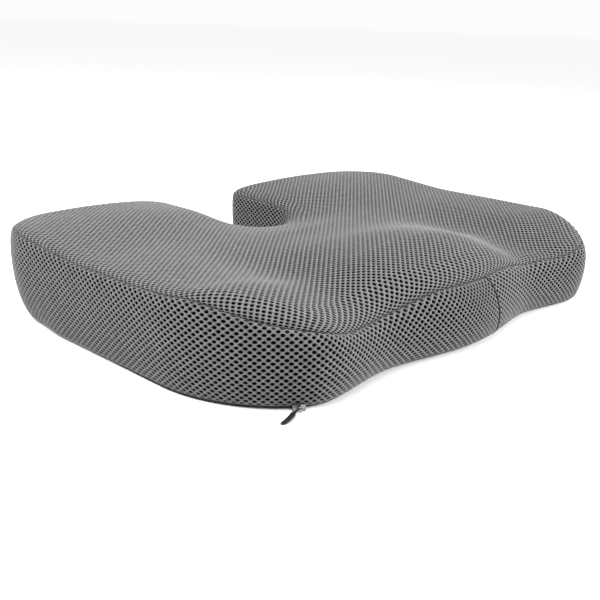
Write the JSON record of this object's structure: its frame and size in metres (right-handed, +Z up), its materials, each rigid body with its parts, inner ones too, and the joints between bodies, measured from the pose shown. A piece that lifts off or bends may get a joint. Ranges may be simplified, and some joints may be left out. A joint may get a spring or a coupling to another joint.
{
  "type": "seat cushion",
  "caption": "Contoured foam seat cushion with leg channels and a U-shaped rear cut-out, in a grey spacer-mesh cover with an underside zip.",
  "frame": {"origin": "under the middle of the cushion's bounding box, on the surface it rests on", "axes": "+Z up, front edge towards -Y, cut-out opening towards +Y, mirror plane of the cushion's shape at X = 0"},
  "size_m": [0.4502, 0.3302, 0.0705],
  "materials": {
    "foam": "open-cell foam, matt",
    "liner": "thin woven liner, matt",
    "mesh": "open spacer mesh, matt",
    "mesh_binding": "folded mesh edge, matt",
    "base_cloth": "woven cloth with grip dots, matt",
    "zip_tape": "woven tape, matt",
    "zip_coil": "satin",
    "zip_metal": "plated, bright",
    "pull_tab": "satin"
  },
  "bodies": {
    "cushion": {"foam_core": "foam", "inner_liner_cap": "liner", "inner_liner_base": "liner", "top_panel": "mesh", "top_seam_binding": "mesh_binding", "band_left": "mesh", "band_right": "mesh", "band_front_join": "mesh_binding", "band_rear_join": "mesh_binding", "base_binding": "mesh_binding", "base_panel": "base_cloth", "zip_tape_outer": "zip_tape", "zip_tape_inner": "zip_tape", "zip_coil_outer": "zip_coil", "zip_coil_inner": "zip_coil", "zip_stop_front": "zip_metal", "zip_stop_rear": "zip_metal"},
    "slider": {"zip_slider": "zip_metal"},
    "puller": {"zip_pull_link": "zip_metal", "zip_pull_tab": "pull_tab"}
  },
  "joints": [
    {"name": "slider_travel", "type": "hinge", "parent": "cushion", "child": "slider", "pos_m": [-0.121, -0.067, 0], "axis": [0, 0, 1], "range_deg": [-50, 0]},
    {"name": "puller_swing", "type": "hinge", "parent": "slider", "child": "puller", "pos_m": [-0.18077, -0.15236, 0.00235], "axis": [0, 0, 1], "range_deg": [-45, 130]}
  ]
}
